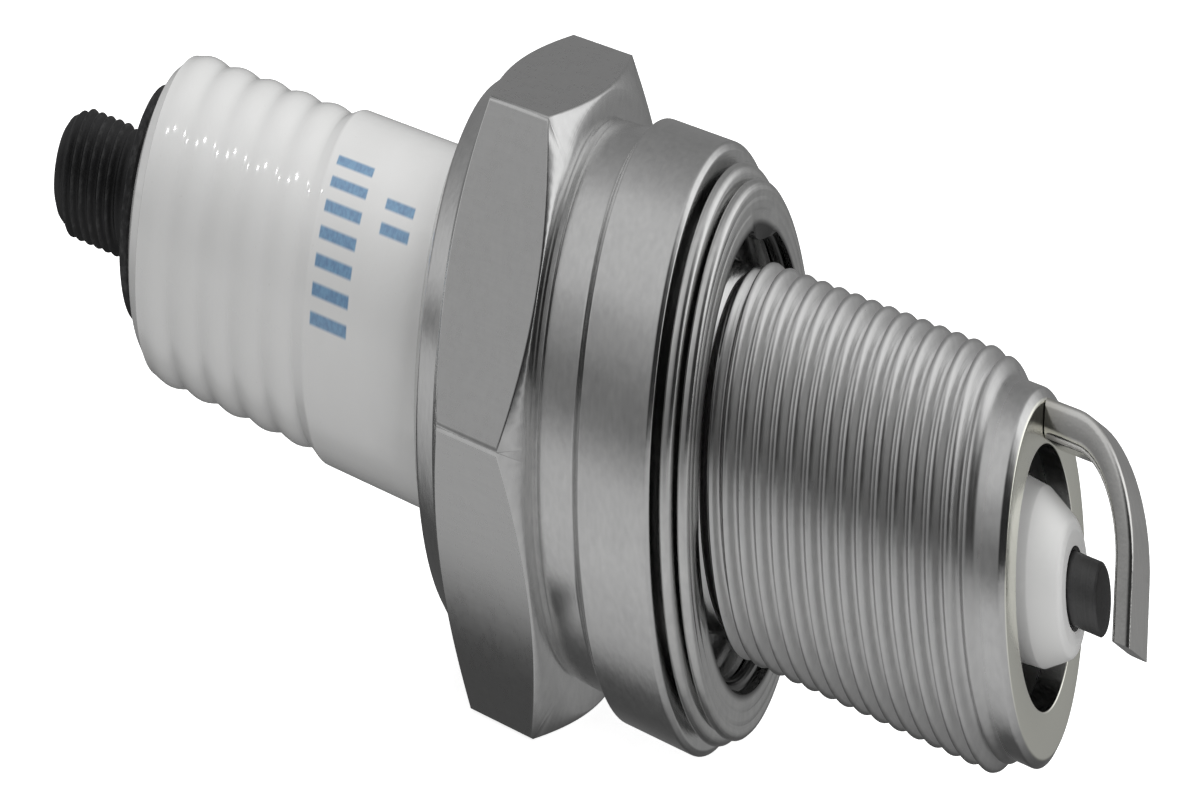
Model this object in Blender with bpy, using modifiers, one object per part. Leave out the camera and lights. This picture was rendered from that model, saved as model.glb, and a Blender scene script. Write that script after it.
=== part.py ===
"""Motorcycle spark plug with an M10 x 1.0 thread, a 19 mm reach and a 16 mm hexagon.

The plug lies along X. The firing end is at +X, the terminal stud at -X, and the origin is on the
axis at the gasket seat, the flat front of the shell's flange. Two flats of the hexagon face +Z
and -Z. Sizes are in millimetres here and become metres when a mesh is made.
"""
import math

import bmesh
import bpy
from mathutils import Matrix, Vector

MM = 0.001
FIT = 0.3           # clearance between neighbours
BOND = 0.1          # clearance between parts that are fused, crimped or welded together
MERGE = 1e-7        # metres; joins points that are meant to be one point

# Shell: thread and seat
REACH = 19.0
PITCH = 1.0
CREST = 4.9
ROOT = 4.38
THREAD_START = 1.3
THREAD_END = 17.5
END_CHAMFER = 0.3
END_BORE = 3.05
RELIEF = 4.6        # plain neck under the gasket
FLANGE = 7.6
FLANGE_BACK = -4.5
FLANGE_CHAMFER = 0.3
NECK = 7.15
NECK_BACK = -7.45

# Shell: hexagon and crimp
ACROSS_FLATS = 16.0
HEX_FRONT = -7.6
HEX_FRONT_RIM = 7.9
HEX_FRONT_SLOPE = 0.8
HEX_BACK = -13.75
HEX_BACK_RIM = 7.75
HEX_BACK_SLOPE = 0.77
CRIMP_SHOULDER = -15.4
CRIMP_SHOULDER_RIM = 7.0
CRIMP_END = -16.3

# Shell: bore
BORE = 6.0
BORE_FRONT = -5.6
BODY_BORE = 3.75
LEDGE = 6.6
LEDGE_BORE = 3.25

# Insulator
NECK_OUT = 4.85
RIB_CREST = 4.72
RIB_VALLEY = 4.55
RIB_COUNT = 5
RIB_PITCH = 2.33
FIRST_RIB = -36.4
INSULATOR_BACK = -38.9
SHOULDER = 3.5
COLLAR = 5.7
COLLAR_BACK = -12.1
COLLAR_FRONT = -6.4
INSULATOR_BODY = 3.4
NOSE_ROOT = 2.8
NOSE_AT_SHELL = 2.1
NOSE_TIP = 1.7
INSULATOR_FRONT = 20.6
STEM_BORE = 1.8     # holds the terminal rod, seals and resistor
TIP_BORE = 0.98
BORE_STEP = 2.0

# Terminal stud
STUD_END = -46.8
STUD_CREST = 1.9
STUD_ROOT = 1.6
STUD_PITCH = 0.7
STUD_THREAD_START = -46.0
STUD_THREAD_END = -41.0
STUD_FLANGE = 3.4
STUD_FLANGE_BACK = -39.8
ROD = 1.5
ROD_FRONT = -21.0

# Column inside the insulator
UPPER_SEAL_FRONT = -17.5
RESISTOR_FRONT = -6.5
LOWER_SEAL_FRONT = -1.5
ELECTRODE_HEAD = 1.5
ELECTRODE = 0.86
ELECTRODE_TIP = 22.15
CORE = 0.5
CORE_FRONT = 16.0

# Ground electrode
SPARK_GAP = 0.95
STRAP_THICK = 1.0
STRAP_WIDE = 2.1
STRAP_ROOT = 3.6
STRAP_BEND = 2.75
STRAP_END = -0.9
STRAP_TURN = math.radians(-21)   # the strap's root leans this far from +Z towards +Y
STRAP_EDGE = 0.12

# Gasket: one steel sheet folded into four layers
SHEET = 0.3
LAYER_STEP = 0.47
LAYERS = 4
GASKET_BACK = 0.38
GASKET_FOLD_OUT = (6.8, 6.5)
GASKET_FOLD_IN = 5.75

SHELL_STEPS = 36    # a multiple of 12 puts the hexagon's corners on the turned steps
BARREL_STEPS = 32
RING_STEPS = 30
CORE_STEPS = 20


def clear_scene():
    """Removes every object, so the script can be run again."""
    for obj in list(bpy.data.objects):
        bpy.data.objects.remove(obj, do_unlink=True)


def new_collection(name):
    group = bpy.data.collections.new(name)
    bpy.context.scene.collection.children.link(group)
    return group


def finish(name, colour, roughness, metallic):
    """A plain material of one finish."""
    material = bpy.data.materials.new(name)
    material.use_nodes = True
    shader = material.node_tree.nodes["Principled BSDF"]
    shader.inputs["Base Color"].default_value = (*colour, 1.0)
    shader.inputs["Roughness"].default_value = roughness
    shader.inputs["Metallic"].default_value = metallic
    return material


def place(name, mesh, material, group):
    """Puts a finished mesh into the scene as one named part."""
    mesh.materials.append(material)
    obj = bpy.data.objects.new(name, mesh)
    group.objects.link(obj)
    mesh.shade_smooth()
    mesh.set_sharp_from_angle(angle=math.radians(35))
    return obj


def arc(centre_x, centre_r, radius, start, end, steps):
    """Points of an arc in the plane of a turned profile, angles in degrees from +X."""
    points = []
    for i in range(steps + 1):
        angle = math.radians(start + (end - start) * i / steps)
        points.append((centre_x + radius * math.cos(angle), centre_r + radius * math.sin(angle)))
    return points


def turned(name, profile, material, group, steps, closed=True):
    """A part turned about X from a profile of (x, radius) points, running towards -X outside.

    A closed profile makes a ring. An open one starts and ends on the axis and makes a solid bar.
    """
    mesh = bpy.data.meshes.new(name)
    count = len(profile)
    edges = [(i, i + 1) for i in range(count - 1)]
    if closed:
        edges.append((count - 1, 0))
    mesh.from_pydata([(x * MM, 0.0, r * MM) for x, r in profile], edges, [])
    obj = place(name, mesh, material, group)
    screw = obj.modifiers.new("Turning", "SCREW")
    screw.axis = "X"
    screw.angle = math.tau
    screw.steps = steps
    screw.render_steps = steps
    screw.use_merge_vertices = True
    screw.merge_threshold = MERGE
    return obj


def spin_profile(bm, profile, steps):
    """Spins an open chain of (x, radius) points into a skin about X."""
    verts = [bm.verts.new((x * MM, 0.0, r * MM)) for x, r in profile]
    edges = [bm.edges.new(pair) for pair in zip(verts, verts[1:])]
    bmesh.ops.spin(bm, geom=verts + edges, cent=(0, 0, 0), axis=(1, 0, 0), angle=math.tau,
                   steps=steps, use_merge=True)


def spin_thread(bm, start, end, crest, root, pitch, steps):
    """Sweeps one tooth along a right-handed helix and runs it out to the root at both ends."""
    turns = math.ceil((end - start) / pitch) + 1
    tooth = [(0.0, root), (0.44, crest), (0.56, crest), (1.0, root)]
    before = set(bm.verts)
    verts = [bm.verts.new(((start + (phase - 1.0) * pitch) * MM, 0.0, r * MM)) for phase, r in tooth]
    edges = [bm.edges.new(pair) for pair in zip(verts, verts[1:])]
    bmesh.ops.spin(bm, geom=verts + edges, cent=(0, 0, 0), axis=(1, 0, 0), dvec=(pitch * MM / steps, 0, 0),
                   angle=math.tau * turns, steps=steps * turns)
    for vert in set(bm.verts) - before:
        x = min(max(vert.co.x / MM, start), end)
        radius = math.hypot(vert.co.y, vert.co.z) / MM
        run_out = min(1.0, (x - start) / pitch, (end - x) / pitch)
        scale = (root + (radius - root) * run_out) / radius
        vert.co = Vector((x * MM, vert.co.y * scale, vert.co.z * scale))


def mill_hexagon(bm):
    """Moves the two widest rings of the blank onto the hexagon, where its end cones cut the flats."""
    corner = ACROSS_FLATS / 2 / math.cos(math.pi / 6)
    middle = (HEX_FRONT + HEX_BACK) / 2
    for vert in bm.verts:
        radius = math.hypot(vert.co.y, vert.co.z) / MM
        if radius < corner - 0.01:
            continue
        angle = math.atan2(vert.co.z, vert.co.y)
        off_flat = (angle % (math.pi / 3)) - math.pi / 6
        across = ACROSS_FLATS / 2 / math.cos(off_flat)
        if vert.co.x / MM > middle:
            x = HEX_FRONT - (across - HEX_FRONT_RIM) * HEX_FRONT_SLOPE
        else:
            x = HEX_BACK + (across - HEX_BACK_RIM) * HEX_BACK_SLOPE
        vert.co = Vector((x, across * math.cos(angle), across * math.sin(angle))) * MM


def close_skin(bm, mesh):
    """Joins matching rings into one closed body with its faces outwards."""
    bmesh.ops.remove_doubles(bm, verts=bm.verts, dist=MERGE * 10)
    bmesh.ops.recalc_face_normals(bm, faces=bm.faces)
    bm.to_mesh(mesh)
    bm.free()


def make_shell(group, material):
    """The threaded steel body, crimped at the back and open from end to end."""
    corner = ACROSS_FLATS / 2 / math.cos(math.pi / 6)
    front_row = HEX_FRONT - 1.0
    back_row = HEX_BACK + 1.0
    lip = NECK_OUT + FIT
    outside_back = [
        (THREAD_START, ROOT), (THREAD_START - 0.2, RELIEF), (0.0, RELIEF),
        (0.0, FLANGE - FLANGE_CHAMFER), (-FLANGE_CHAMFER, FLANGE),
        (FLANGE_BACK + 0.15, FLANGE), (FLANGE_BACK, FLANGE - 0.15),
        (FLANGE_BACK - 0.5, NECK + 0.03), ((FLANGE_BACK + NECK_BACK) / 2, NECK),
        (NECK_BACK + 0.3, NECK + 0.1), (NECK_BACK, NECK - 0.1), (HEX_FRONT, NECK + 0.1),
        (HEX_FRONT, HEX_FRONT_RIM), (front_row, corner), (back_row, corner), (HEX_BACK, HEX_BACK_RIM),
        (CRIMP_SHOULDER, CRIMP_SHOULDER_RIM), (CRIMP_SHOULDER - 0.5, CRIMP_SHOULDER_RIM - 0.4),
        (CRIMP_END, lip + 0.8), (CRIMP_END, lip), (CRIMP_END + 0.5, lip), (CRIMP_SHOULDER, BORE),
        (BORE_FRONT, BORE), (BORE_FRONT + 1.9, BODY_BORE), (LEDGE, BODY_BORE),
        (LEDGE + 0.5, LEDGE_BORE), (LEDGE + 2.5, LEDGE_BORE), (LEDGE + 3.0, END_BORE),
        (REACH, END_BORE), (REACH, ROOT - END_CHAMFER), (REACH - END_CHAMFER, ROOT), (THREAD_END, ROOT),
    ]
    bm = bmesh.new()
    spin_profile(bm, outside_back, SHELL_STEPS)
    mill_hexagon(bm)
    spin_thread(bm, THREAD_START, THREAD_END, CREST, ROOT, PITCH, SHELL_STEPS)
    mesh = bpy.data.meshes.new("shell")
    close_skin(bm, mesh)
    return place("shell", mesh, material, group)


def make_insulator(group, material):
    """The ribbed alumina body with its stepped bore."""
    profile = [
        (INSULATOR_FRONT, TIP_BORE), (INSULATOR_FRONT, NOSE_TIP - 0.35), (INSULATOR_FRONT - 0.15, NOSE_TIP - 0.1),
        (INSULATOR_FRONT - 0.4, NOSE_TIP), (REACH, NOSE_AT_SHELL), (LEDGE - 0.1, NOSE_ROOT),
        (LEDGE - 0.4, INSULATOR_BODY), (BORE_FRONT + 2.4, INSULATOR_BODY), (COLLAR_FRONT, COLLAR),
        (COLLAR_BACK, COLLAR), (COLLAR_BACK - 0.6, NECK_OUT),
        (FIRST_RIB + RIB_PITCH * RIB_COUNT, NECK_OUT),
    ]
    for rib in reversed(range(RIB_COUNT)):
        crest = FIRST_RIB + RIB_PITCH * rib
        profile.append((crest + RIB_PITCH * 0.5, RIB_VALLEY))
        profile.append((crest + RIB_PITCH * 0.2, RIB_CREST))
        profile.append((crest - RIB_PITCH * 0.2, RIB_CREST))
    profile += [
        (FIRST_RIB - 1.2, RIB_VALLEY - 0.3), (INSULATOR_BACK + 0.5, SHOULDER + 0.35), (INSULATOR_BACK, SHOULDER),
        (INSULATOR_BACK, STEM_BORE), (BORE_STEP, STEM_BORE), (BORE_STEP + 0.7, TIP_BORE),
    ]
    return turned("insulator", profile, material, group, BARREL_STEPS)


def make_terminal_stud(group, material):
    """The M4 stud with its seating flange, and the rod that reaches down to the glass seal."""
    rest = [
        (STUD_THREAD_END, STUD_ROOT), (STUD_FLANGE_BACK, STUD_ROOT), (STUD_FLANGE_BACK, STUD_FLANGE - 0.2),
        (STUD_FLANGE_BACK + 0.2, STUD_FLANGE), (INSULATOR_BACK - BOND - 0.2, STUD_FLANGE),
        (INSULATOR_BACK - BOND, STUD_FLANGE - 0.2), (INSULATOR_BACK - BOND, ROD), (ROD_FRONT, ROD),
        (ROD_FRONT, 0.0),
    ]
    tip = [(STUD_END, 0.0), (STUD_END, 0.9), (STUD_END + 0.3, 1.35), (STUD_THREAD_START, STUD_ROOT)]
    bm = bmesh.new()
    spin_profile(bm, rest, CORE_STEPS)
    spin_profile(bm, tip, CORE_STEPS)
    spin_thread(bm, STUD_THREAD_START, STUD_THREAD_END, STUD_CREST, STUD_ROOT, STUD_PITCH, CORE_STEPS)
    mesh = bpy.data.meshes.new("terminal_stud")
    close_skin(bm, mesh)
    return place("terminal_stud", mesh, material, group)


def plug_of(name, back, front, radius, material, group):
    """A solid cylinder that fills part of the insulator's bore."""
    profile = [(front, 0.0), (front, radius), (back, radius), (back, 0.0)]
    return turned(name, profile, material, group, CORE_STEPS, closed=False)


def make_column(group, seal, carbon, nickel, copper):
    """What fills the bore between the terminal rod and the spark gap."""
    filling = STEM_BORE - BOND
    plug_of("upper_glass_seal", ROD_FRONT + BOND, UPPER_SEAL_FRONT, filling, seal, group)
    plug_of("resistor", UPPER_SEAL_FRONT + BOND, RESISTOR_FRONT, filling, carbon, group)
    plug_of("lower_glass_seal", RESISTOR_FRONT + BOND, LOWER_SEAL_FRONT, filling, seal, group)
    head_back = LOWER_SEAL_FRONT + BOND
    head_front = BORE_STEP - FIT
    profile = [
        (ELECTRODE_TIP, 0.0), (ELECTRODE_TIP, ELECTRODE - 0.1), (ELECTRODE_TIP - 0.1, ELECTRODE),
        (head_front, ELECTRODE), (head_front - 0.3, ELECTRODE_HEAD), (head_back, ELECTRODE_HEAD),
        (head_back, CORE + BOND), (CORE_FRONT + BOND, CORE + BOND), (CORE_FRONT + BOND, 0.0),
    ]
    turned("centre_electrode", profile, nickel, group, CORE_STEPS, closed=False)
    plug_of("copper_core", head_back, CORE_FRONT, CORE, copper, group)


def ring(name, back, front, inner, outer, material, group):
    """A plain turned ring with a rectangular section."""
    profile = [(front, inner), (front, outer), (back, outer), (back, inner)]
    return turned(name, profile, material, group, RING_STEPS)


def make_packings(group, steel, talc):
    """The seals between insulator and shell: a washer on the ledge, and rings round the talc."""
    inside = NECK_OUT + BOND * 2
    outside = BORE - BOND
    ring("seat_washer", LEDGE - 0.05, LEDGE + 0.2, NOSE_ROOT + 0.15, INSULATOR_BODY + 0.05, steel, group)
    ring("lower_packing_ring", COLLAR_BACK - 1.3, COLLAR_BACK - 0.75, inside, outside, steel, group)
    ring("talc_filling", COLLAR_BACK - 2.6, COLLAR_BACK - 1.4, inside, outside, talc, group)
    ring("upper_packing_ring", COLLAR_BACK - 3.1, COLLAR_BACK - 2.7, inside, outside, steel, group)


def fold_line():
    """The middle line of the gasket's sheet, up and down through its four layers."""
    turn = LAYER_STEP / 2
    x = GASKET_BACK + SHEET / 2
    line = [(x, GASKET_FOLD_IN)]
    for layer in range(LAYERS - 1):
        if layer % 2 == 0:
            line += arc(x + turn, GASKET_FOLD_OUT[layer // 2], turn, 180, 0, 3)
        else:
            line += arc(x + turn, GASKET_FOLD_IN, turn, 180, 360, 3)
        x += LAYER_STEP
    line.append((x, GASKET_FOLD_IN + 0.1))
    return line


def make_gasket(group, material):
    """The folded crush washer, which turns freely behind the first thread."""
    line = [Vector(point) for point in fold_line()]
    left, right = [], []
    for i, point in enumerate(line):
        along = (line[min(i + 1, len(line) - 1)] - line[max(i - 1, 0)]).normalized()
        across = Vector((-along.y, along.x)) * (SHEET / 2)
        left.append(tuple(point + across))
        right.append(tuple(point - across))
    outline = left + right[::-1]
    bm = bmesh.new()
    verts = [bm.verts.new((x * MM, 0.0, r * MM)) for x, r in outline]
    edges = [bm.edges.new((verts[i - 1], verts[i])) for i in range(len(verts))]
    bmesh.ops.spin(bm, geom=verts + edges, cent=(0, 0, 0), axis=(1, 0, 0), angle=math.tau,
                   steps=RING_STEPS, use_merge=True)
    mesh = bpy.data.meshes.new("gasket")
    close_skin(bm, mesh)
    return place("gasket", mesh, material, group)


def make_ground_electrode(group, material):
    """The flat strap from the shell's rim, bent over the tip of the centre electrode."""
    face = ELECTRODE_TIP + SPARK_GAP
    back = REACH + BOND / 2
    centre_x = face + STRAP_THICK / 2 - STRAP_BEND
    centre_r = STRAP_ROOT - STRAP_BEND
    half = STRAP_THICK / 2
    outer = [(back, STRAP_ROOT + half)]
    outer += arc(centre_x, centre_r, STRAP_BEND + half, 90, 0, 8)
    outer.append((face + STRAP_THICK, STRAP_END))
    inner = [(face, STRAP_END)]
    inner += arc(centre_x, centre_r, STRAP_BEND - half, 0, 90, 8)
    inner.append((back, STRAP_ROOT - half))
    outline = outer + inner
    bm = bmesh.new()
    side = bm.faces.new([bm.verts.new((x, -STRAP_WIDE / 2, r)) for x, r in outline])
    swept = bmesh.ops.extrude_face_region(bm, geom=[side])["geom"]
    moved = [item for item in swept if isinstance(item, bmesh.types.BMVert)]
    bmesh.ops.translate(bm, verts=moved, vec=(0, STRAP_WIDE, 0))
    bmesh.ops.recalc_face_normals(bm, faces=bm.faces)
    bmesh.ops.transform(bm, matrix=Matrix.Scale(MM, 4), verts=bm.verts)
    mesh = bpy.data.meshes.new("ground_electrode")
    bm.to_mesh(mesh)
    bm.free()
    strap = place("ground_electrode", mesh, material, group)
    strap.rotation_euler.x = STRAP_TURN
    bevel = strap.modifiers.new("Rounded edges", "BEVEL")
    bevel.width = STRAP_EDGE * MM
    bevel.segments = 1
    bevel.limit_method = "ANGLE"
    bevel.angle_limit = math.radians(60)
    return strap


def main():
    clear_scene()
    group = new_collection("spark_plug")
    plated = finish("plated steel", (0.55, 0.55, 0.54), 0.3, 1.0)
    glaze = finish("glazed alumina", (0.86, 0.86, 0.85), 0.12, 0.0)
    black = finish("blackened steel", (0.03, 0.03, 0.03), 0.5, 0.8)
    nickel = finish("nickel alloy", (0.5, 0.49, 0.46), 0.32, 1.0)
    worn = finish("dark nickel alloy", (0.12, 0.12, 0.12), 0.5, 0.8)
    washer = finish("zinc plated steel", (0.62, 0.62, 0.61), 0.25, 1.0)
    copper = finish("copper", (0.8, 0.42, 0.27), 0.35, 1.0)
    seal = finish("conductive glass", (0.16, 0.14, 0.13), 0.4, 0.0)
    carbon = finish("carbon resistor", (0.05, 0.05, 0.05), 0.8, 0.0)
    talc = finish("talc", (0.75, 0.74, 0.7), 0.95, 0.0)
    make_shell(group, plated)
    make_insulator(group, glaze)
    make_terminal_stud(group, black)
    make_column(group, seal, carbon, worn, copper)
    make_packings(group, washer, talc)
    make_gasket(group, washer)
    make_ground_electrode(group, nickel)


main()
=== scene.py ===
"""The finished looks of a motorcycle spark plug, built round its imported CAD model.

The plug lies along X with its firing end at +X. The origin is on the axis at the gasket seat.
Shapes are worked out in millimetres and become metres when a mesh is made.
"""
import math

import bmesh
import bpy
from mathutils import Matrix, Vector


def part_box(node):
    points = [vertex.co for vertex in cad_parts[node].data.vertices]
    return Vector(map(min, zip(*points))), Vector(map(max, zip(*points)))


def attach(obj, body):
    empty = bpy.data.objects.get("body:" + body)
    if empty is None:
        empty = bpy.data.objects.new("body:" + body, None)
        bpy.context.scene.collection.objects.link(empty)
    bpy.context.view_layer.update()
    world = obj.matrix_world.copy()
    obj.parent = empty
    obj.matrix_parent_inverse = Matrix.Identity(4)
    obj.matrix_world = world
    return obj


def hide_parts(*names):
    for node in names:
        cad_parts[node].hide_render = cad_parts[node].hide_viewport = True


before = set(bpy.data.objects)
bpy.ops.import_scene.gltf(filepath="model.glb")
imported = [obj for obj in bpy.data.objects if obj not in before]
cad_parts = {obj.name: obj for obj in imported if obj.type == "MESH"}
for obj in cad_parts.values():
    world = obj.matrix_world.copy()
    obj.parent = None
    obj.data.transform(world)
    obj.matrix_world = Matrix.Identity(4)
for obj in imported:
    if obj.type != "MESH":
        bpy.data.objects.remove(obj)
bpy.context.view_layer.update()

MM = 0.001
COLUMNS = 144            # a multiple of 6 puts the hexagon's corners on the turned columns
MERGE = 1e-4             # mm


def span(node):
    """Where a part of the frame starts and ends along the plug, in millimetres."""
    low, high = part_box(node)
    return low.x / MM, high.x / MM


SHELL_BACK, REACH = span("shell")
INSULATOR_BACK, INSULATOR_FRONT = span("insulator")
STUD_END = span("terminal_stud")[0]
GASKET_BACK, GASKET_FRONT = span("gasket")
ELECTRODE_HEAD_BACK, ELECTRODE_TIP = span("centre_electrode")
STRAP_BACK, STRAP_FRONT = span("ground_electrode")
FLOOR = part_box("shell")[0].z / MM


# Shader maths

class Wire:
    """A number, colour or vector in a material, used in sums like a plain number."""

    def __init__(self, paint, socket):
        self.paint = paint
        self.socket = socket

    def _math(self, operation, *terms):
        return self.paint.node("Math", dict(operation=operation), *terms)

    def __add__(self, other):
        return self._math("ADD", self, other)

    def __sub__(self, other):
        return self._math("SUBTRACT", self, other)

    def __rsub__(self, other):
        return self._math("SUBTRACT", other, self)

    def __mul__(self, other):
        return self._math("MULTIPLY", self, other)

    def __truediv__(self, other):
        return self._math("DIVIDE", self, other)

    def __pow__(self, other):
        return self._math("POWER", self, other)

    __radd__ = __add__
    __rmul__ = __mul__

    def step(self, start, end):
        """0 below start and 1 above end, with a soft change between them."""
        settings = dict(interpolation_type="SMOOTHSTEP")
        return self.paint.node("MapRange", settings, self, start, end, 0.0, 1.0, out="Result")

    def band(self, start, end, soft):
        """1 between start and end, 0 outside."""
        return self.step(start - soft, start + soft) * (1 - self.step(end - soft, end + soft))

    def spread(self, low, high):
        """Turns 0 to 1 into low to high."""
        return self * (high - low) + low


class Paint:
    """One node tree, with a method that makes any node."""

    def __init__(self, tree):
        self.tree = tree

    def node(self, kind, settings=None, *values, out=None, **named):
        made = self.tree.nodes.new("ShaderNode" + kind)
        for key, value in (settings or {}).items():
            if key == "stops":
                self._stops(made, value)
            else:
                setattr(made, key, value)
        for key, value in list(enumerate(values)) + list(named.items()):
            socket = made.inputs[key if isinstance(key, int) else key.replace("_", " ")]
            if isinstance(value, Wire):
                self.tree.links.new(value.socket, socket)
            elif value is not None:
                socket.default_value = value
        return Wire(self, made.outputs[out] if out else made.outputs[0])

    def _stops(self, made, stops):
        ramp = made.color_ramp
        while len(ramp.elements) < len(stops):
            ramp.elements.new(1.0)
        for element, (place, tone) in zip(ramp.elements, stops):
            element.position = place
            element.color = (*tone, 1.0) if isinstance(tone, tuple) else (tone, tone, tone, 1.0)

    def place(self):
        """Object coordinates in millimetres."""
        here = self.node("TexCoord", out="Object")
        return self.node("VectorMath", dict(operation="SCALE"), here, Scale=1 / MM)

    def parts(self, vector):
        xyz = self.node("SeparateXYZ", None, vector).socket.node
        return [Wire(self, xyz.outputs[i]) for i in range(3)]

    def joined(self, x, y, z):
        return self.node("CombineXYZ", None, x, y, z)

    def round_the_axis(self, vector):
        """Along, radius and turn (0 to 1) of a point round the plug's axis."""
        x, y, z = self.parts(vector)
        radius = (y * y + z * z) ** 0.5
        turn = self.node("Math", dict(operation="ARCTAN2"), z, y) / math.tau
        return x, radius, self.node("Math", dict(operation="FRACT"), turn + 1.0)

    def noise(self, vector, scale, detail=3.0, rough=0.5):
        return self.node("TexNoise", None, Vector=vector, Scale=scale, Detail=detail, Roughness=rough)

    def stretched(self, vector, sizes):
        return self.node("VectorMath", dict(operation="MULTIPLY"), vector, sizes)

    def blend(self, factor, first, second):
        """The first colour at factor 0 and the second at 1."""
        made = self.node("Mix", dict(data_type="RGBA")).socket.node
        for key, value in ((0, factor), (6, first), (7, second)):
            if isinstance(value, Wire):
                self.tree.links.new(value.socket, made.inputs[key])
            elif isinstance(value, tuple):
                made.inputs[key].default_value = (*value, 1.0)
            else:
                made.inputs[key].default_value = value
        return Wire(self, made.outputs[2])

    def bump(self, height, depth):
        """A bump of this depth in millimetres."""
        return self.node("Bump", None, Strength=1.0, Distance=depth * MM, Height=height)


def finish(name, recipe, **fixed):
    """A material whose recipe gives the wires of the Principled shader."""
    material = bpy.data.materials.new(name)
    material.use_nodes = True
    tree = material.node_tree
    shader = tree.nodes["Principled BSDF"]
    for key, value in fixed.items():
        shader.inputs[key.replace("_", " ")].default_value = value
    for key, value in recipe(Paint(tree)).items():
        tree.links.new(value.socket, shader.inputs[key])
    return material


def machined(p, light, dark, fine=26.0):
    """Turned steel: tool marks round the axis, plating mottle and grain."""
    place = p.place()
    x, radius, turn = p.round_the_axis(place)
    along = p.joined(x * fine, radius * fine, turn * 6.0)
    marks = p.noise(along, 1.0, 2.0)
    mottle = p.noise(place, 0.9, 4.0, 0.6)
    grain = p.noise(place, 3.2, 1.0, 0.4)
    tone = mottle.spread(-0.25, 1.25) * 0.5 + grain.spread(-0.5, 1.5) * 0.35 + marks * 0.15
    colour = p.blend(tone, dark, light)
    rough = marks * 0.06 + grain * 0.08 + mottle * 0.08
    return x, radius, marks, grain, colour, rough


def plated_steel(p):
    """Turned all over, finely milled on the flats, and pale at the end face."""
    x, _, marks, grain, colour, rough = machined(p, (0.66, 0.66, 0.655), (0.52, 0.52, 0.52))
    flats = p.node("Attribute", dict(attribute_name="milled"), out="Fac")
    scratch = p.noise(p.stretched(p.place(), (0.35, 5.0, 5.0)), 1.6, 3.0, 0.6)
    colour = p.blend(flats * 0.55, colour, p.blend(scratch, (0.52, 0.52, 0.52), (0.62, 0.62, 0.615)))
    end_face = x.step(REACH - 0.08, REACH - 0.02)
    colour = p.blend(end_face * 0.9, colour, (0.93, 0.93, 0.84))
    threaded = x.band(THREAD_START, THREAD_END + 0.25, 0.1)
    depth = (marks * 0.5 + grain * 0.8) * (1 - flats) + scratch * flats * 0.12
    return {
        "Base Color": colour,
        "Roughness": rough + 0.08 + flats * 0.1 + threaded * 0.12,
        "Normal": p.bump(depth, 0.005),
    }


def zinc_steel(p):
    """Bright sheet, with painted shade, almost black, inside the ring where it sits against the thread."""
    _, radius, marks, grain, colour, rough = machined(p, (0.68, 0.68, 0.67), (0.52, 0.52, 0.52), 9.0)
    # painted shade: the inner lip goes almost black, where the ring sits against the thread
    lip = 1 - radius.step(GASKET_LIP - 0.03, GASKET_LIP + 0.2)
    return {
        "Base Color": p.blend(lip * 0.9, colour, (0.05, 0.05, 0.05)),
        "Roughness": rough + 0.1,
        "Normal": p.bump(marks + grain * 0.2, 0.012),
    }


def packing_steel(p):
    _, _, marks, _, colour, rough = machined(p, (0.6, 0.6, 0.59), (0.45, 0.45, 0.45), 14.0)
    return {
        "Base Color": colour,
        "Roughness": rough + 0.25,
        "Normal": p.bump(marks, 0.006),
    }


def nickel_alloy(p):
    """Drawn strap, browned by the weld at its root."""
    place = p.place()
    drawn = p.noise(p.stretched(place, (0.7, 4.0, 0.7)), 1.4, 3.0, 0.6)
    grain = p.noise(place, 12.0, 2.0)
    heat = 1 - p.parts(place)[0].step(REACH - 0.2, REACH + 1.9)
    colour = p.blend(drawn * 0.6 + grain * 0.4, (0.6, 0.6, 0.59), (0.8, 0.79, 0.77))
    colour = p.blend(heat * 0.45, colour, (0.36, 0.34, 0.27))
    return {
        "Base Color": colour,
        "Roughness": drawn * 0.12 + grain * 0.06 + 0.07,
        "Normal": p.bump(drawn + grain * 0.4, 0.006),
    }


def dark_nickel_alloy(p):
    place = p.place()
    x, radius, turn = p.round_the_axis(place)
    marks = p.noise(p.joined(x * 12.0, radius * 12.0, turn * 4.0), 1.0, 2.0)
    grain = p.noise(place, 8.0, 4.0, 0.7)
    colour = p.blend(marks * 0.5 + grain * 0.5, (0.055, 0.055, 0.057), (0.13, 0.13, 0.13))
    return {
        "Base Color": colour,
        "Roughness": grain * 0.2 + 0.38,
        "Normal": p.bump(marks * 0.5 + grain, 0.01),
    }


def glazed_alumina(p):
    """Glossy white glaze with plain blue bars, and bare matt ceramic at the nose."""
    place = p.place()
    x, _, turn = p.round_the_axis(place)
    cloud = p.noise(place, 0.35, 2.0)
    specks = p.noise(place, 6.0, 1.0).step(0.74, 0.8)
    colour = p.blend(cloud, (0.8, 0.8, 0.79), (0.88, 0.88, 0.875))
    colour = p.blend(specks * 0.12, colour, (0.5, 0.48, 0.44))
    nose = x.step(REACH - 6.0, REACH - 5.5)
    colour = p.blend(nose * 0.6, colour, (0.93, 0.93, 0.92))
    print_colour = p.blend(p.noise(place, 5.0, 3.0).step(0.25, 0.75), (0.05, 0.2, 0.42), (0.12, 0.33, 0.56))
    mark = None
    for start, end, first, last in PRINTED_BARS:
        bar = x.band(start, end, 0.05) * turn.band(first, last, 0.002)
        mark = bar if mark is None else mark + bar
    colour = p.blend(mark * (1 - nose) * 0.85, colour, print_colour)
    ripple = p.noise(place, 1.1, 2.0)
    return {
        "Base Color": colour,
        "Roughness": nose * 0.3 + cloud * 0.04 + 0.1,
        "Coat Weight": (1 - nose) * 0.6,
        "Normal": p.bump(ripple, 0.01),
    }


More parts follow.
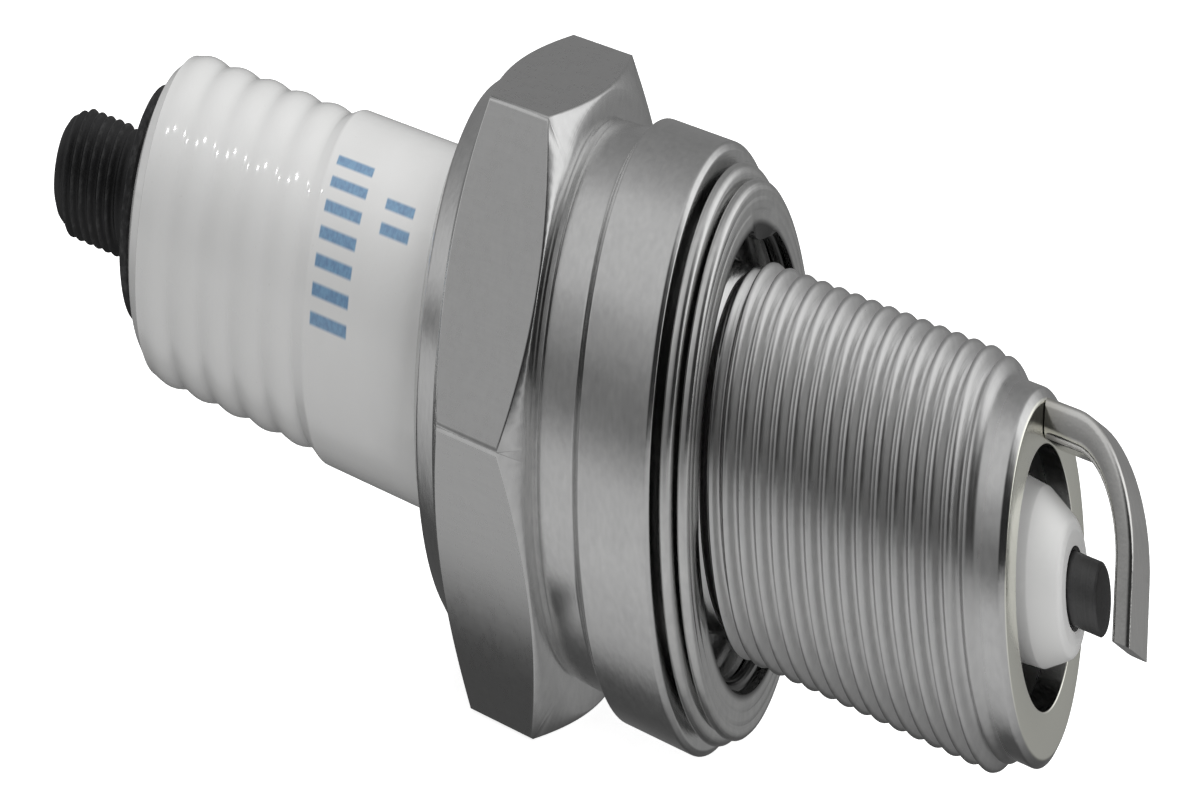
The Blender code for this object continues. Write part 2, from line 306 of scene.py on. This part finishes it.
def blackened_steel(p):
    """Black oxide, worn on the thread's crests."""
    place = p.place()
    _, radius, _ = p.round_the_axis(place)
    wear = radius.step(STUD_CREST - 0.18, STUD_CREST + 0.02) * p.noise(place, 3.0, 4.0, 0.7).step(0.4, 0.75)
    grain = p.noise(place, 7.0, 3.0, 0.7)
    colour = p.blend(grain, (0.012, 0.012, 0.013), (0.035, 0.035, 0.036))
    colour = p.blend(wear * 0.4, colour, (0.14, 0.14, 0.14))
    return {
        "Base Color": colour,
        "Roughness": grain * 0.25 + 0.38,
        "Normal": p.bump(grain, 0.012),
    }


def copper(p):
    place = p.place()
    tarnish = p.noise(place, 2.2, 4.0, 0.6)
    drawn = p.noise(p.stretched(place, (0.5, 8.0, 8.0)), 1.0, 2.0)
    return {
        "Base Color": p.blend(tarnish, (0.62, 0.27, 0.15), (0.84, 0.45, 0.3)),
        "Roughness": tarnish * 0.2 + drawn * 0.1 + 0.2,
        "Normal": p.bump(drawn, 0.005),
    }


def conductive_glass(p):
    place = p.place()
    grit = p.noise(place, 5.0, 4.0, 0.7)
    fleck = p.noise(place, 11.0, 1.0).step(0.62, 0.72)
    colour = p.blend(grit, (0.07, 0.06, 0.06), (0.2, 0.18, 0.16))
    return {
        "Base Color": p.blend(fleck, colour, (0.55, 0.36, 0.24)),
        "Roughness": grit * 0.3 + 0.22,
        "Normal": p.bump(grit, 0.02),
    }


def carbon_resistor(p):
    place = p.place()
    grit = p.noise(place, 6.0, 5.0, 0.75)
    fleck = p.noise(place, 9.0, 1.0).step(0.66, 0.72)
    colour = p.blend(grit, (0.02, 0.02, 0.02), (0.07, 0.07, 0.065))
    return {
        "Base Color": p.blend(fleck * 0.5, colour, (0.3, 0.3, 0.28)),
        "Roughness": grit * 0.25 + 0.6,
        "Normal": p.bump(grit, 0.03),
    }


def talc(p):
    place = p.place()
    powder = p.noise(place, 4.0, 6.0, 0.8)
    return {
        "Base Color": p.blend(powder, (0.66, 0.65, 0.61), (0.84, 0.83, 0.8)),
        "Roughness": powder * 0.1 + 0.85,
        "Normal": p.bump(powder, 0.03),
    }


# Mesh work

def turn_round(bm, outline, columns=COLUMNS, closed=False):
    """Spins a chain of (x, radius) points into a skin round the plug's axis."""
    verts = [bm.verts.new((x, 0.0, r)) for x, r in outline]
    edges = [bm.edges.new(pair) for pair in zip(verts, verts[1:])]
    if closed:
        edges.append(bm.edges.new((verts[-1], verts[0])))
    bmesh.ops.spin(bm, geom=verts + edges, cent=(0, 0, 0), axis=(1, 0, 0), angle=math.tau,
                   steps=columns, use_merge=True)


def corner(points, radii):
    """Rounds the listed corners of a chain of (x, radius) points, and keeps the others sharp."""
    steps = 4
    nearly_straight = 1.55
    smooth = [points[0]]
    for i in range(1, len(points) - 1):
        here = Vector(points[i])
        back = Vector(points[i - 1]) - here
        on = Vector(points[i + 1]) - here
        radius = radii.get(i, 0.0)
        half = back.angle(on) / 2
        if radius == 0.0 or half > nearly_straight:
            smooth.append(points[i])
            continue
        reach = min(radius / math.tan(half), back.length * 0.48, on.length * 0.48)
        start = here + back.normalized() * reach
        end = here + on.normalized() * reach
        for k in range(steps + 1):
            t = k / steps
            point = start * (1 - t) ** 2 + here * 2 * t * (1 - t) + end * t ** 2
            smooth.append((point.x, point.y))
    smooth.append(points[-1])
    return smooth


def cut_thread(bm, start, end, crest, root, pitch, rows, columns=COLUMNS):
    """Sweeps one rounded tooth along a right-handed helix, and runs it out at both ends."""
    turns = math.ceil((end - start) / pitch) + 1
    coil = bmesh.new()
    verts = []
    for i in range(rows + 1):
        phase = i / rows
        rise = 1 - abs(phase * 2 - 1)
        tooth = min(max((rise - 0.1) / 0.78, 0.0), 1.0)
        radius = root + (crest - root) * (tooth + 0.06 * math.sin(math.tau * (tooth - 0.5)))
        verts.append(coil.verts.new((start + (phase - 1) * pitch, 0.0, radius)))
    edges = [coil.edges.new(pair) for pair in zip(verts, verts[1:])]
    bmesh.ops.spin(coil, geom=verts + edges, cent=(0, 0, 0), axis=(1, 0, 0),
                   dvec=(pitch / columns, 0, 0), angle=math.tau, steps=columns)
    one_turn = coil.verts[:] + coil.edges[:] + coil.faces[:]
    for turn in range(1, turns):
        copied = bmesh.ops.duplicate(coil, geom=one_turn)["geom"]
        moved = [item for item in copied if isinstance(item, bmesh.types.BMVert)]
        bmesh.ops.translate(coil, verts=moved, vec=(pitch * turn, 0, 0))
    for vert in coil.verts:
        x = min(max(vert.co.x, start), end)
        radius = math.hypot(vert.co.y, vert.co.z)
        run_out = min(1.0, (x - start) / pitch, (end - x) / pitch)
        scale = (root + (radius - root) * run_out) / radius
        vert.co = Vector((x, vert.co.y * scale, vert.co.z * scale))
    swept = bpy.data.meshes.new("thread")
    coil.to_mesh(swept)
    coil.free()
    bm.from_mesh(swept)
    bpy.data.meshes.remove(swept)


def seal_up(bm):
    """Joins matching points into one closed skin with its faces outwards."""
    bmesh.ops.remove_doubles(bm, verts=bm.verts, dist=MERGE)
    bmesh.ops.recalc_face_normals(bm, faces=bm.faces)


def stand_for(name, bm, material, node, body="plug_body", sharp=40.0):
    """Makes the finished mesh a piece that stands for a part of the frame."""
    bmesh.ops.transform(bm, matrix=Matrix.Scale(MM, 4), verts=bm.verts)
    mesh = bpy.data.meshes.new(name)
    bm.to_mesh(mesh)
    bm.free()
    mesh.materials.append(material)
    mesh.shade_smooth()
    mesh.set_sharp_from_angle(angle=math.radians(sharp))
    piece = bpy.data.objects.new(name, mesh)
    bpy.context.scene.collection.objects.link(piece)
    shading = piece.modifiers.new("Even shading", "WEIGHTED_NORMAL")
    shading.keep_sharp = True
    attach(piece, body)
    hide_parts(node)
    return piece


# The shell

ACROSS_FLATS = 16.0
HEX_CORNER = 9.2
THREAD_START = 1.3
THREAD_END = 17.5
THREAD_PITCH = 1.0
CREST = 4.9
ROOT = 4.38
RELIEF = 4.6
FLAT_EDGE = 0.07


def shell_outline():
    """From the thread's back end over the flange and hexagon, and back through the bore."""
    lip = 5.15
    points = [
        (THREAD_START, ROOT), (1.1, RELIEF), (0.0, RELIEF), (0.0, 7.4), (-0.2, 7.6), (-4.35, 7.6),
        (-4.6, 7.45), (-4.95, 7.17), (-7.15, 7.13), (-7.3, 7.05), (-7.6, 7.1), (-7.6, 7.9),
        (-8.64, HEX_CORNER), (-12.63, HEX_CORNER), (-13.75, 7.75), (-15.4, 7.0), (-16.15, 6.1),
        (SHELL_BACK, 5.6), (SHELL_BACK, lip), (-15.8, lip), (-15.4, 6.0),
        (-5.6, 6.0), (-3.7, 3.75), (6.6, 3.75), (7.1, 3.25), (9.1, 3.25), (9.6, 3.05),
        (REACH, 3.05), (REACH, 4.1), (18.7, 4.38), (THREAD_END, ROOT),
    ]
    rounds = {2: 0.1, 3: 0.12, 4: 0.25, 5: 0.2, 6: 0.2, 7: 0.5, 8: 0.15, 9: 0.1, 14: 0.5, 15: 0.8, 16: 0.6,
              17: 0.3, 18: 0.15, 27: 0.08, 28: 0.12, 29: 0.25}
    return corner(points, rounds)


def mill_flats(bm):
    """Cuts the hexagon's six flats and softens their borders."""
    flats = []
    for i in range(6):
        angle = math.radians(30 + 60 * i)
        out = Vector((0.0, math.cos(angle), math.sin(angle)))
        cut = bmesh.ops.bisect_plane(bm, geom=bm.verts[:] + bm.edges[:] + bm.faces[:], dist=1e-4,
                                     plane_co=out * ACROSS_FLATS / 2, plane_no=out, clear_outer=True)
        rim = [item for item in cut["geom_cut"] if isinstance(item, bmesh.types.BMEdge)]
        flats += bmesh.ops.edgeloop_fill(bm, edges=rim)["faces"]
    borders = list({edge for flat in flats for edge in flat.edges})
    bmesh.ops.bevel(bm, geom=borders, offset=FLAT_EDGE, offset_type="OFFSET", segments=2, profile=0.5,
                    affect="EDGES", material=-1, clamp_overlap=False)


def make_shell(material):
    bm = bmesh.new()
    turn_round(bm, shell_outline())
    bmesh.ops.remove_doubles(bm, verts=bm.verts, dist=MERGE)
    mill_flats(bm)
    cut_thread(bm, THREAD_START, THREAD_END, CREST, ROOT, THREAD_PITCH, 12)
    seal_up(bm)
    milled = bm.faces.layers.float.new("milled")
    smallest_flat = 4.0
    for face in bm.faces:
        centre = face.calc_center_median()
        level = abs(face.normal.x) < 0.01 and face.calc_area() > smallest_flat
        outside = math.hypot(centre.y, centre.z) > ACROSS_FLATS / 2 - 0.5
        face[milled] = 1.0 if level and outside else 0.0
    return stand_for("shell_body", bm, material, "shell")


# The insulator

RIB_COUNT = 5
RIB_PITCH = 2.33
FIRST_RIB = -36.4
RIB_VALLEY = 4.54
RIB_HEIGHT = 0.13
TIP_BORE = 0.98
STEM_BORE = 1.8
# Plain bars as (start, end, first turn, last turn)
PRINTED_BARS = [(-24.4, -21.8, 0.335 + 0.026 * i, 0.347 + 0.026 * i) for i in range(7)]
PRINTED_BARS += [(-20.4, -18.4, 0.362 + 0.026 * i, 0.374 + 0.026 * i) for i in range(2)]


def make_insulator(material):
    """From the tip's bore over the nose, collar and ribs, and back through the stem's bore."""
    points = [
        (INSULATOR_FRONT, TIP_BORE), (INSULATOR_FRONT, 1.35), (20.5, 1.6), (20.1, 1.75), (REACH, 2.1),
        (6.5, 2.8), (6.2, 3.4), (-3.2, 3.4), (-6.4, 5.7), (-12.1, 5.7), (-12.7, 4.85),
        (-24.9, 4.82), (-25.7, 4.58),
    ]
    rounds = {1: 0.2, 2: 0.3, 3: 0.4, 4: 0.5, 10: 0.2, 11: 0.8}
    outline = corner(points, rounds)
    rows = 8
    for i in range(RIB_COUNT * rows + 1):
        t = i / rows
        x = FIRST_RIB + RIB_PITCH * (RIB_COUNT - 0.5 - t)
        wave = 0.5 - 0.5 * math.cos(math.tau * t)
        outline.append((x, RIB_VALLEY + RIB_HEIGHT * wave ** 0.7))
    back = [
        outline[-1], (-37.6, 4.5), (-38.4, 4.1), (-38.8, 3.65), (INSULATOR_BACK, 3.5),
        (INSULATOR_BACK, STEM_BORE),
    ]
    outline += corner(back, {1: 0.6, 2: 0.5, 3: 0.3, 4: 0.1})[1:]
    outline += [(2.0, STEM_BORE), (2.7, TIP_BORE)]
    bm = bmesh.new()
    turn_round(bm, outline, 128, closed=True)
    seal_up(bm)
    return stand_for("insulator_body", bm, material, "insulator")


# The terminal stud

STUD_THREAD = (-46.0, -41.0)
STUD_CREST = 1.9
STUD_ROOT = 1.6
STUD_PITCH = 0.7
STUD_FLANGE_BACK = -39.8
ROD = 1.5
ROD_FRONT = -21.0


def make_stud(material):
    """The rounded tip, the thread, and the flange with the rod that goes into the insulator."""
    columns = 96
    start, end = STUD_THREAD
    rest = [
        (end, STUD_ROOT), (STUD_FLANGE_BACK, STUD_ROOT), (STUD_FLANGE_BACK, 3.25), (-39.65, 3.4),
        (-39.2, 3.4), (-39.0, 3.2), (-39.0, ROD), (ROD_FRONT, ROD), (ROD_FRONT, 0.0),
    ]
    tip = [(STUD_END, 0.0), (STUD_END, 0.85), (-46.6, 1.25), (-46.25, 1.52), (start, STUD_ROOT)]
    bm = bmesh.new()
    turn_round(bm, corner(rest, {2: 0.1, 3: 0.15, 4: 0.1}), columns)
    turn_round(bm, corner(tip, {1: 0.2, 2: 0.3, 3: 0.2}), columns)
    cut_thread(bm, start, end, STUD_CREST, STUD_ROOT, STUD_PITCH, 12, columns)
    seal_up(bm)
    return stand_for("terminal_post", bm, material, "terminal_stud")


# The gasket

SHEET = 0.3
LAYER_STEP = 0.47
BACK_PLAY = 0.08
GASKET_LIP = 5.75
# Each turn of the sheet: the radius of its centre, how far it bends in degrees, and its steps
TURNS = ((6.8, -180, 8), (5.9, 180, 8), (6.5, -150, 7))
RIDGES = 3
RIDGE_DEPTH = 0.02
DENTS = (78.0, 198.0, 318.0)
DENT_REACH = 13.0
DENT_START = 6.3
DENT_IN = 0.42
DENT_BACK = 0.3


def fold_outline():
    """Both sides of the sheet: a wide fold, a turn inside, then a smaller fold with a coned front."""
    turn = LAYER_STEP / 2
    x = GASKET_BACK + SHEET / 2 - BACK_PLAY
    line = [Vector((x, GASKET_LIP)), Vector((x, 6.2))]
    for centre, sweep, steps in TURNS:
        for k in range(steps + 1):
            angle = math.radians(180 + sweep * k / steps)
            line.append(Vector((x + turn + turn * math.cos(angle), centre + turn * math.sin(angle))))
        x += LAYER_STEP
    start, lip = line[-1], Vector((GASKET_FRONT - SHEET / 2 - 0.01, GASKET_LIP - 0.03))
    steps = 14
    for k in range(1, steps + 1):
        t = k / steps
        ridge = RIDGE_DEPTH * (math.cos(math.tau * RIDGES * t) - 1)
        line.append(start.lerp(lip, t) + Vector((ridge * (1 - t * t), 0)))
    sides = ([], [])
    for i, point in enumerate(line):
        along = (line[min(i + 1, len(line) - 1)] - line[max(i - 1, 0)]).normalized()
        across = Vector((-along.y, along.x)) * (SHEET / 2)
        sides[0].append(tuple(point + across))
        sides[1].append(tuple(point - across))
    return sides[0] + sides[1][::-1]


def dent_lip(bm):
    """Presses the front layer's lip inwards at three places, which keeps the ring on the thread."""
    for vert in bm.verts:
        radius = math.hypot(vert.co.y, vert.co.z)
        if vert.co.x < GASKET_FRONT - 2 * SHEET - 0.02 or radius > DENT_START:
            continue
        turn = math.degrees(math.atan2(vert.co.z, vert.co.y))
        nearest = min(abs((turn - dent + 180) % 360 - 180) for dent in DENTS)
        press = max(0.0, 1 - (nearest / DENT_REACH) ** 2) * min(1.0, (DENT_START - radius) / 0.5)
        scale = 1 - press * DENT_IN / radius
        vert.co = Vector((vert.co.x - press * DENT_BACK, vert.co.y * scale, vert.co.z * scale))


def make_gasket(material):
    bm = bmesh.new()
    turn_round(bm, fold_outline(), closed=True)
    seal_up(bm)
    dent_lip(bm)
    return stand_for("gasket_ring", bm, material, "gasket", "gasket", sharp=50.0)


# The electrodes

STRAP_THICK = 1.0
STRAP_WIDE = 2.1
STRAP_EDGE = 0.28
STRAP_ROOT = 3.6
STRAP_BEND = 2.75
STRAP_END = -0.9
STRAP_TURN = math.radians(-21)
ELECTRODE = 0.86
ELECTRODE_HEAD = 1.5
CORE = 0.6
CORE_FRONT = 16.1


def pulled_out(bm, faces, vector):
    """Extrudes the faces along a vector and gives the ones at the new end."""
    grown = bmesh.ops.extrude_face_region(bm, geom=faces)["geom"]
    moved = [item for item in grown if isinstance(item, bmesh.types.BMVert)]
    bmesh.ops.translate(bm, verts=moved, vec=vector)
    return [item for item in grown if isinstance(item, bmesh.types.BMFace)]


def make_strap(material):
    """The flat strap, bent over the gap from the shell's rim."""
    half = STRAP_THICK / 2
    side = STRAP_WIDE / 2
    middle_x = STRAP_FRONT - half - STRAP_BEND
    middle_r = STRAP_ROOT - STRAP_BEND
    bm = bmesh.new()
    section = [bm.verts.new((STRAP_BACK, y, STRAP_ROOT + z)) for y, z in
               ((-side, -half), (side, -half), (side, half), (-side, half))]
    bm.faces.new(section)
    bmesh.ops.bevel(bm, geom=section, offset=STRAP_EDGE, segments=4, profile=0.5, affect="VERTICES",
                    material=-1)
    front = pulled_out(bm, bm.faces[:], (middle_x - STRAP_BACK, 0, 0))
    spun = bmesh.ops.spin(bm, geom=front, cent=(middle_x, 0, middle_r), axis=(0, 1, 0),
                          angle=math.pi / 2, steps=16)["geom_last"]
    front = [item for item in spun if isinstance(item, bmesh.types.BMFace)]
    pulled_out(bm, front, (0, 0, STRAP_END - middle_r))
    bmesh.ops.rotate(bm, verts=bm.verts, cent=(0, 0, 0), matrix=Matrix.Rotation(STRAP_TURN, 3, "X"))
    seal_up(bm)
    return stand_for("ground_strap", bm, material, "ground_electrode")


def make_centre_electrode(material):
    """The pin and its head, open at the back for the copper core."""
    points = [
        (ELECTRODE_TIP, 0.0), (ELECTRODE_TIP, ELECTRODE - 0.08), (ELECTRODE_TIP - 0.12, ELECTRODE),
        (1.7, ELECTRODE), (1.4, ELECTRODE_HEAD), (ELECTRODE_HEAD_BACK, ELECTRODE_HEAD),
        (ELECTRODE_HEAD_BACK, CORE), (CORE_FRONT, CORE), (CORE_FRONT, 0.0),
    ]
    bm = bmesh.new()
    turn_round(bm, corner(points, {1: 0.08, 2: 0.1, 4: 0.1}), 96)
    seal_up(bm)
    return stand_for("firing_pin", bm, material, "centre_electrode")


# Floor, lights and camera

def level_sheet(name, half_size, middle, height):
    """A flat square on the stage, in millimetres."""
    bm = bmesh.new()
    bmesh.ops.create_grid(bm, x_segments=1, y_segments=1, size=half_size * MM)
    bmesh.ops.translate(bm, verts=bm.verts, vec=(middle * MM, 0, height * MM))
    mesh = bpy.data.meshes.new(name)
    bm.to_mesh(mesh)
    bm.free()
    sheet = bpy.data.objects.new(name, mesh)
    bpy.context.scene.collection.objects.link(sheet)
    sheet.visible_diffuse = False
    return sheet


def pale(p):
    return {"Base Color": p.blend(p.noise(p.place(), 0.01), (0.8, 0.8, 0.8), (0.82, 0.82, 0.82))}


def make_floor():
    """A pale floor that glows a little, so that its shadow is almost gone."""
    floor = level_sheet("floor", 4000.0, 0.0, FLOOR - 0.05)
    floor.data.materials.append(finish("pale floor", pale, Roughness=0.9, Emission_Color=(1, 1, 1, 1),
                                       Emission_Strength=0.85, Specular_IOR_Level=0.0))
    floor.visible_glossy = False


# Brightness of the studio round the plug's axis, in degrees from the far side over the top
STUDIO = [
    (0, 0.24), (25, 0.26), (45, 0.32), (65, 0.46), (83, 0.72), (106, 0.72), (125, 0.66), (134, 0.46),
    (146, 0.38), (160, 0.24), (176, 0.24), (186, 0.40), (198, 0.62), (228, 0.66), (247, 0.58),
    (267, 0.48), (277, 0.28), (286, 0.1), (310, 0.08), (330, 0.14), (360, 0.24),
]
# The same, in front of the firing end
STUDIO_END = [
    (0, 0.3), (20, 0.5), (36, 1.2), (66, 1.25), (80, 0.6), (95, 0.12), (115, 0.03), (172, 0.03),
    (180, 0.4), (200, 0.6), (235, 0.62), (270, 0.5), (300, 0.3), (330, 0.34), (360, 0.3),
]


def lay_shade():
    """What the hexagon's underside sees of its own shade on the floor, in reflections only."""
    shade = level_sheet("floor_shade", 40.0, -10.0, FLOOR - 0.1)
    material = bpy.data.materials.new("floor shade")
    material.use_nodes = True
    tree = material.node_tree
    p = Paint(tree)
    x, y, _ = p.parts(p.place())
    across = y.step(-8.6, -6.4) * (1 - y.step(4.6, 9.0))
    along = x.step(-24.0, -20.0) * (1 - x.step(-9.0, -7.5))
    clear = p.node("BsdfTransparent")
    dark = p.node("Emission", None, (0.09, 0.09, 0.09, 1.0))
    mixed = p.node("MixShader", None, across * along, clear, dark)
    tree.links.new(mixed.socket, tree.nodes["Material Output"].inputs["Surface"])
    shade.data.materials.append(material)
    shade.visible_camera = False
    shade.visible_shadow = False


def light_studio():
    """Grey tones all round the plug for its reflections, and plain white behind it."""
    world = bpy.data.worlds.new("studio")
    bpy.context.scene.world = world
    world.use_nodes = True
    tree = world.node_tree
    p = Paint(tree)
    x, _, turn = p.round_the_axis(p.node("TexCoord", out="Generated"))
    side, end = [p.node("ValToRGB", dict(stops=[(degrees / 360, tone) for degrees, tone in tones]), turn)
                 for tones in (STUDIO, STUDIO_END)]
    ramp = p.blend(x.step(-0.15, 0.6), side, end)
    seen = p.node("LightPath", out="Is Camera Ray")
    tree.links.new(p.blend(seen, ramp, (1.0, 1.0, 1.0)).socket, tree.nodes["Background"].inputs["Color"])


def softbox(name, place, size, power, glossy):
    """A square lamp that looks at the middle of the plug, with its size in mm and power in watts."""
    middle = Vector((-10, 0, 0))
    lamp = bpy.data.lights.new(name, "AREA")
    lamp.size = size * MM
    lamp.energy = power
    box = bpy.data.objects.new(name, lamp)
    bpy.context.scene.collection.objects.link(box)
    box.location = Vector(place) * MM
    box.rotation_euler = (middle - Vector(place)).to_track_quat("-Z", "Y").to_euler()
    box.visible_glossy = glossy
    box.visible_camera = False
    return box


def place_camera():
    """The film plane is swung and tilted against the lens axis, as on a view camera."""
    azimuth, elevation, roll = math.radians(121.11), math.radians(-14.233), math.radians(2.35)
    swing, tilt = math.radians(42.1), math.radians(70.4)
    forward = Vector((math.cos(elevation) * math.cos(azimuth), math.cos(elevation) * math.sin(azimuth),
                      math.sin(elevation)))
    level = forward.cross(Vector((0, 0, 1))).normalized()
    right = Matrix.Rotation(-roll, 3, forward) @ level
    up = right.cross(forward)
    across = right * math.cos(swing) + forward * math.sin(swing)
    upward = up * math.cos(tilt) - forward * math.sin(tilt)
    stand = Vector((272.014, -463.379, 137.004)) * MM
    axes = (across, upward, -forward, stand)
    plane = Matrix([[axis[i] for axis in axes] for i in range(3)] + [[0, 0, 0, 1]])
    camera = bpy.data.cameras.new("camera")
    camera.lens = 224.815
    camera.sensor_width = 36.0
    camera.clip_start = 0.01
    camera.clip_end = 20.0
    view = bpy.data.objects.new("camera", camera)
    holder = bpy.data.objects.new("camera_stand", None)
    for item in (view, holder):
        bpy.context.scene.collection.objects.link(item)
    view.parent = holder
    view.matrix_parent_inverse = plane
    bpy.context.scene.camera = view


def place_lamps(ceramic):
    """Soft light from above and in front, and two small lamps whose glints only the glaze shows."""
    softbox("overhead", (-60, 130, 400), 260, 0.7, False)
    softbox("firing_end", (330, -200, 160), 200, 0.6, False)
    glazed = bpy.data.collections.new("glazed")
    glazed.objects.link(ceramic)
    for name, place in (("left_glint", (-330, -115, 350)), ("right_glint", (-215, -125, 380))):
        glint = softbox(name, place, 12, 0.06, True)
        glint.light_linking.receiver_collection = glazed


def finish_inside():
    """Materials for the pieces inside, whose CAD shapes are kept as they are."""
    packing = finish("packing steel", packing_steel, Metallic=1.0)
    glass = finish("conductive glass", conductive_glass)
    inside = {
        "upper_glass_seal": glass,
        "lower_glass_seal": glass,
        "resistor": finish("carbon resistor", carbon_resistor),
        "copper_core": finish("copper", copper, Metallic=1.0),
        "talc_filling": finish("talc", talc),
        "seat_washer": packing,
        "lower_packing_ring": packing,
        "upper_packing_ring": packing,
    }
    for name, material in inside.items():
        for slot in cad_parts[name].material_slots:
            slot.material = material


def main():
    bpy.context.scene.view_settings.view_transform = "Standard"
    make_shell(finish("plated steel", plated_steel, Metallic=1.0))
    ceramic = make_insulator(finish("glazed alumina", glazed_alumina, Coat_Roughness=0.03))
    make_stud(finish("blackened steel", blackened_steel, Metallic=0.6))
    make_gasket(finish("zinc steel", zinc_steel, Metallic=1.0))
    make_strap(finish("nickel alloy", nickel_alloy, Metallic=1.0))
    make_centre_electrode(finish("dark nickel alloy", dark_nickel_alloy, Metallic=0.7))
    finish_inside()
    make_floor()
    lay_shade()
    light_studio()
    place_lamps(ceramic)
    place_camera()


main()
